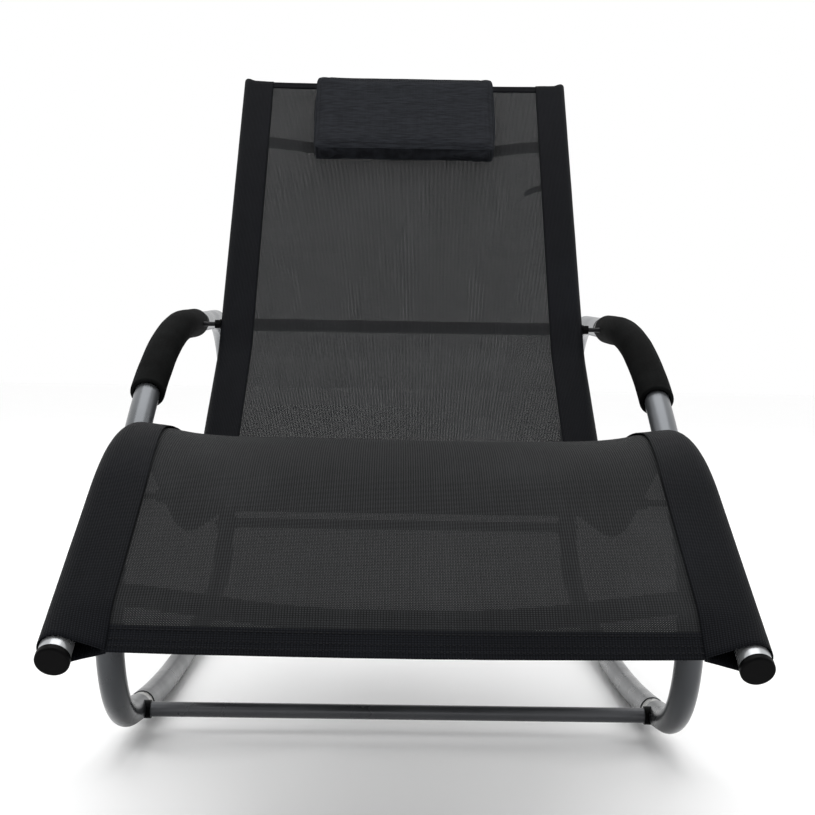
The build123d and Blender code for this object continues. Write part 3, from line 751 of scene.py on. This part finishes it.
def rounded_block(half, corner):
    """A dense block with rounded corners in plan."""
    work = bmesh.new()
    bmesh.ops.create_cube(work, size=2.0)
    for _ in range(5):
        bmesh.ops.subdivide_edges(work, edges=work.edges[:], cuts=1, use_grid_fill=True)
    for vert in work.verts:
        x, y, z = (vert.co[k] * half[k] for k in range(3))
        inner = [max(half[0] - corner, 0), max(half[1] - corner, 0)]
        cx, cy = min(max(x, -inner[0]), inner[0]), min(max(y, -inner[1]), inner[1])
        away = hypot(x - cx, y - cy)
        if away > 1e-9:
            most = max(abs(x - cx), abs(y - cy))
            scale = most / away
            x, y = cx + (x - cx) * scale, cy + (y - cy) * scale
        vert.co = (x, y, z)
    mesh = bpy.data.meshes.new("pillow")
    work.to_mesh(mesh)
    work.free()
    piece = bpy.data.objects.new("pillow_cushion", mesh)
    bpy.context.scene.collection.objects.link(piece)
    return piece


SIM_FRAMES = 20
half = (PILLOW_W / 2 - 0.0012, PILLOW_L / 2 + 0.0010, PILLOW_T / 2 - 0.0022)
pillow = rounded_block(half, PILLOW_CORNER)
bevel = pillow.modifiers.new("round", "BEVEL")
bevel.width = 0.0030
bevel.segments = 3
bevel.limit_method = "ANGLE"
remesh = pillow.modifiers.new("remesh", "REMESH")
remesh.mode = "VOXEL"
remesh.voxel_size = 0.004
settle(pillow)
rest = [v.co.copy() for v in pillow.data.vertices]
cloth = pillow.modifiers.new("cloth", "CLOTH")
cloth.settings.use_pressure = True
cloth.settings.uniform_pressure_force = 4.0
cloth.settings.effector_weights.gravity = 0.0
cloth.settings.quality = 6
cloth.settings.mass = 0.2
cloth.settings.tension_stiffness = 20
cloth.settings.compression_stiffness = 20
cloth.settings.shear_stiffness = 12
cloth.settings.bending_stiffness = 0.6
cloth.settings.shrink_min = -0.012
cloth.point_cache.frame_start = 1
cloth.point_cache.frame_end = SIM_FRAMES
scene = bpy.context.scene
for number in range(1, SIM_FRAMES + 1):
    scene.frame_set(number)
settle(pillow)
scene.frame_set(1)
CAP = 0.0028  # most that the pressure may move the cover
for vert, at in zip(pillow.data.vertices, rest):
    move = vert.co - at
    if move.length > CAP:
        move *= CAP / move.length
    p = at + move
    crinkle = noise.noise(Vector((p.x * 26, p.y * 34, p.z * 40)))
    p += p.normalized() * 0.0006 * crinkle
    p.z = max(p.z, -PILLOW_T / 2 + 0.0004 * abs(crinkle))
    p.z = min(p.z, PILLOW_T / 2 + 0.003)
    vert.co = p
pillow.modifiers.new("smooth", "SUBSURF").levels = 1
pillow.modifiers["smooth"].render_levels = 1
settle(pillow)
pillow.data.polygons.foreach_set("use_smooth", [True] * len(pillow.data.polygons))

tree = BVHTree.FromObject(pillow, bpy.context.evaluated_depsgraph_get())


def surface_near(point):
    found, normal, _, _ = tree.find_nearest(point)
    return found, normal


def cord_mesh(name, line, radius, closed=False):
    """A thin round piping along points that lie on the pillow."""
    rows, uvs, walked = [], [], 0.0
    count = len(line)
    for i, (point, normal) in enumerate(line):
        before = line[i - 1][0] if i or closed else point
        after = line[(i + 1) % count][0] if i + 1 < count or closed else point
        way = (after - before).normalized()
        side = way.cross(normal).normalized()
        up = side.cross(way).normalized()
        rows.append([point + side * radius * cos(2 * pi * k / 10) + up * radius * sin(2 * pi * k / 10)
                     for k in range(10)])
        if i:
            walked += (point - line[i - 1][0]).length
        uvs.append([(2 * pi * radius * k / 10, walked) for k in range(11)])
    if closed:
        rows.append(rows[0])
        uvs.append([(u, walked + 0.004) for u, _ in uvs[0]])
    piece = grid(name, rows, uvs, wrap=True, start_cap=not closed, end_cap=not closed)
    if closed:
        work = bmesh.new()
        work.from_mesh(piece.data)
        bmesh.ops.remove_doubles(work, verts=work.verts, dist=1e-6)
        work.to_mesh(piece.data)
        work.free()
    outward(piece)
    return piece


def edge_line(level, inset):
    """The pillow's rounded outline at one level, drawn on its surface."""
    line = []
    w, l, r = PILLOW_W / 2 - inset, PILLOW_L / 2 - inset, PILLOW_CORNER
    runs = [((w - r, l - r), 0), ((-w + r, l - r), 90), ((-w + r, -l + r), 180), ((w - r, -l + r), 270)]
    outline = []
    for (cx, cy), first in runs:
        for k in range(9):
            turn = radians(first + 90 * k / 8)
            outline.append((cx + r * cos(turn), cy + r * sin(turn)))
    total = []
    for (ax, ay), (bx, by) in zip(outline, outline[1:] + outline[:1]):
        steps = max(1, round(hypot(bx - ax, by - ay) / 0.004))
        for k in range(steps):
            total.append((ax + (bx - ax) * k / steps, ay + (by - ay) * k / steps))
    for x, y in total:
        found, normal = surface_near(Vector((x, y, level)))
        line.append((found + normal * 0.0003, normal))
    return line


face_piping = cord_mesh("pillow_piping", edge_line(PILLOW_T / 2 - 0.0045, 0.0010), 0.0008, closed=True)
back_piping = cord_mesh("pillow_back_seam", edge_line(-PILLOW_T / 2 + 0.0045, 0.0010), 0.0007, closed=True)
pillow_line = edge_line(PILLOW_T / 2 + 0.004, 0.0065)
pillow_stitches = stitches("pillow_stitches", [pillow_line], length=0.0024, pitch=0.0036, radius=0.0003)
for piece in (pillow, face_piping, back_piping, pillow_stitches):
    piece.data.transform(TO_ROW)
finish_piece(pillow, PILLOW_LOOK, "pillow", ["pillow_cover", "pillow_filling"])
finish_piece(face_piping, PILLOW_LOOK, "pillow")
finish_piece(back_piping, PILLOW_LOOK, "pillow")
finish_piece(pillow_stitches, THREAD_LOOK, "pillow")

# ---------------------------------------------------------------- pillow hanger, over the head hem
HANGER_W = 0.180
STRAP_CLOTH = 0.0011
ROD_LOOP_R = 0.0036  # middle of the strap's cloth round its rod
rod = Vector([(low + high) / 2 for low, high in zip(*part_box("hanger_rod"))])


def from_head(distance, level):
    """A point of the backrest's plane: along it from the rail's head end, and towards the sitter."""
    point = head + along * distance + towards * level
    return point.y, point.z


rod_along = (rod - head).dot(along)
rod_level = (rod - head).dot(towards)
HEM_TOP = POCKET + 0.0035
strap = [(PILLOW_TOP - 0.030, 0.0116), (PILLOW_TOP + 0.002, 0.0116), (HEM_TOP - 0.008, 0.0118),
         (HEM_TOP - 0.002, 0.0117), (HEM_TOP + 0.0005, 0.0095), (HEM_TOP - 0.002, 0.0060),
         (HEM_TOP - 0.014, 0.0046), (rod_along + 0.040, 0.0030), (rod_along + 0.012, rod_level + 0.0042)]
for k in range(9):
    turn = radians(32 * k)
    strap.append((rod_along + ROD_LOOP_R * -sin(turn), rod_level + ROD_LOOP_R * cos(turn)))
strap.append((rod_along + 0.012, rod_level - 0.0012))
fine = []
for (a, la), (b, lb) in zip(strap, strap[1:]):
    steps = max(1, round(hypot(b - a, lb - la) / 0.003))
    for k in range(steps):
        fine.append((a + (b - a) * k / steps, la + (lb - la) * k / steps))
fine.append(strap[-1])
for _ in range(3):
    fine = [fine[0]] + [((a[0] + 2 * b[0] + c[0]) / 4, (a[1] + 2 * b[1] + c[1]) / 4)
                        for a, b, c in zip(fine, fine[1:], fine[2:])] + [fine[-1]]
rows, uvs, walked = [], [], 0.0
for i, (distance, level) in enumerate(fine):
    if i:
        walked += hypot(distance - fine[i - 1][0], level - fine[i - 1][1])
    row = []
    for k in range(41):
        x = HANGER_W / 2 * (k / 20 - 1)
        ripple = 0.0006 * noise.noise(Vector((x * 22, walked * 30, 9.0)))
        y, z = from_head(distance, level + ripple)
        row.append(Vector((x, y, z)))
    rows.append(row)
    uvs.append([(HANGER_W / 2 * (k / 20 - 1), walked) for k in range(41)])
hanger = grid("pillow_strap", rows, uvs)
thicken(hanger, STRAP_CLOTH, 0.0)
finish_piece(hanger, PILLOW_LOOK, "pillow", ["pillow_hanger"])

# ---------------------------------------------------------------- seam tab behind the mesh
tab_low, tab_high = (Vector(c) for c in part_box("seam_tab"))
tab_middle = (tab_low + tab_high) / 2
TAB_W = 0.010
TAB_DROP = 0.012
rows, uvs = [], []
for k in range(21):
    share = k / 20
    x = tab_low.x + (tab_high.x - tab_low.x) * share
    row = []
    for j in range(5):
        step = (j / 4 - 0.5) * TAB_W
        back = -0.0010 - 0.0012 * sin(pi * share)
        drop = TAB_DROP * (1 - share) ** 2
        row.append(Vector((x, tab_middle.y, tab_middle.z)) + along * (step - drop) + towards * back)
    rows.append(row)
    uvs.append([(share * 0.024, j / 4 * TAB_W) for j in range(5)])
tab = grid("fabric_tab", rows, uvs)
thicken(tab, 0.0012, 0.0)
finish_piece(tab, WEB_LOOK, replaced=["seam_tab"])

# ---------------------------------------------------------------- stage, light and camera
look = Look("pale_floor", (0.98, 0.98, 0.98), 0.9, Specular_IOR_Level=0.05)
look.set("Base Color", look.mix(look.ramp(look.noise(3.0, 4.0), 0.3, 0.7), (0.98, 0.98, 0.98),
                                (0.99, 0.99, 0.99)))
FLOOR_LOOK = look.material
FLOOR_HALF = 40.0
rows = [[Vector((x, y, 0)) for x in (-FLOOR_HALF, FLOOR_HALF)] for y in (-FLOOR_HALF, FLOOR_HALF)]
uvs = [[(0, 0), (1, 0)], [(0, 1), (1, 1)]]
floor = grid("floor", rows, uvs)
floor.data.materials.append(FLOOR_LOOK)


def area_light(name, at, aim, size, power):
    data = bpy.data.lights.new(name, "AREA")
    data.shape = "RECTANGLE"
    data.size, data.size_y = size
    data.energy = power
    lamp = bpy.data.objects.new(name, data)
    bpy.context.scene.collection.objects.link(lamp)
    lamp.location = at
    lamp.rotation_euler = (Vector(aim) - Vector(at)).to_track_quat("-Z", "Y").to_euler()


area_light("key", (-2.2, -2.4, 3.2), (0, 0, 0.4), (2.4, 1.6), 46)
area_light("fill", (2.4, -2.2, 2.6), (0, 0, 0.4), (2.2, 1.6), 32)
area_light("top", (0, 0.8, 4.2), (0, 0.2, 0.3), (3.6, 3.6), 70)
world = bpy.data.worlds.new("studio")
world.use_nodes = True
world.node_tree.nodes["Background"].inputs[0].default_value = (1.0, 1.0, 1.0, 1.0)
world.node_tree.nodes["Background"].inputs[1].default_value = 1.0
bpy.context.scene.world = world
bpy.context.scene.view_settings.view_transform = "Standard"

CAMERA_AT = Vector((-0.0115, -1.624, 0.392))
YAW, PITCH, ROLL = radians(0.63), radians(1.30), radians(0.90)
forward = Vector((sin(YAW) * cos(PITCH), cos(YAW) * cos(PITCH), -sin(PITCH)))
right = Vector((cos(YAW), -sin(YAW), 0))
up = right.cross(forward)
right, up = right * cos(ROLL) + up * sin(ROLL), up * cos(ROLL) - right * sin(ROLL)
lens = bpy.data.cameras.new("camera")
lens.lens = 61.84
lens.sensor_width = 36.0
lens.clip_end = 50
camera = bpy.data.objects.new("camera", lens)
bpy.context.scene.collection.objects.link(camera)
turned = Matrix((right, up, -forward)).transposed().to_4x4()
camera.matrix_world = Matrix.Translation(CAMERA_AT) @ turned
bpy.context.scene.camera = camera
